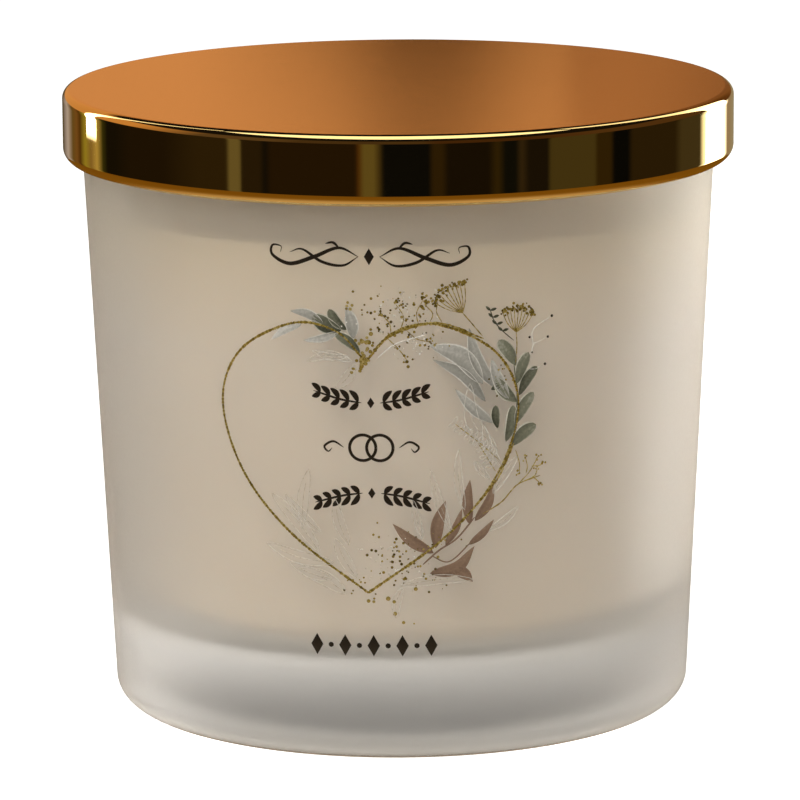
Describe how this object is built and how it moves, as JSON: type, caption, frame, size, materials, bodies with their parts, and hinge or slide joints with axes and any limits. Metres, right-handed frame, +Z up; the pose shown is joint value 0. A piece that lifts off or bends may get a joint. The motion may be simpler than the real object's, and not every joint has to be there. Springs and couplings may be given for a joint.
{
  "type": "lidded container candle",
  "caption": "Wedding candle: wax with cotton wicks in a tapered frosted glass tumbler with a raised floral print, under a gold metal lid with a silicone seal.",
  "frame": {"origin": "centre of the tumbler's foot, on the surface that it stands on", "axes": "+Z up along the tumbler's and the lid's axis, -Y out through the middle of the printed front"},
  "size_m": [0.106, 0.106, 0.0985],
  "materials": {
    "frosted_glass": "acid-frosted satin outside, clear inside, with a clear heavy base",
    "wax": "cream soy wax, soft sheen",
    "cotton": "braided and lightly waxed",
    "tinplate": "pressed tinplate",
    "sticker_foam": "white double-sided foam",
    "label_paper": "coated paper, blank",
    "gold_ink": "raised gold glitter ink",
    "green_ink": "raised sage green ink",
    "rose_ink": "raised rose-brown ink",
    "white_ink": "raised white ink",
    "dark_ink": "flat dark brown ink",
    "silicone": "translucent satin",
    "gold_lid": "gold-plated, satin top and polished side and hem",
    "gold_pan": "gold-plated, bright"
  },
  "bodies": {
    "jar": {"glass_jar": "frosted_glass", "wax_fill": "wax", "wick_1": "cotton", "wick_2": "cotton", "wick_3": "cotton", "wick_tab_1": "tinplate", "wick_tab_2": "tinplate", "wick_tab_3": "tinplate", "wick_sticker_1": "sticker_foam", "wick_sticker_2": "sticker_foam", "wick_sticker_3": "sticker_foam", "base_label": "label_paper", "print_heart": "gold_ink", "print_leaves_green": "green_ink", "print_leaves_rose": "rose_ink", "print_leaves_white": "white_ink", "print_ornaments": "dark_ink"},
    "seal": {"lid_seal": "silicone"},
    "lid": {"lid_shell": "gold_lid", "lid_insert": "gold_pan"}
  },
  "joints": [
    {"name": "lid_lift", "type": "slide", "parent": "jar", "child": "seal", "axis": [0, 0, 1], "range_m": [0, 0.045]},
    {"name": "lid_turn", "type": "hinge", "parent": "seal", "child": "lid", "pos_m": [0, 0, 0.0985], "axis": [0, 0, 1], "continuous": true}
  ]
}
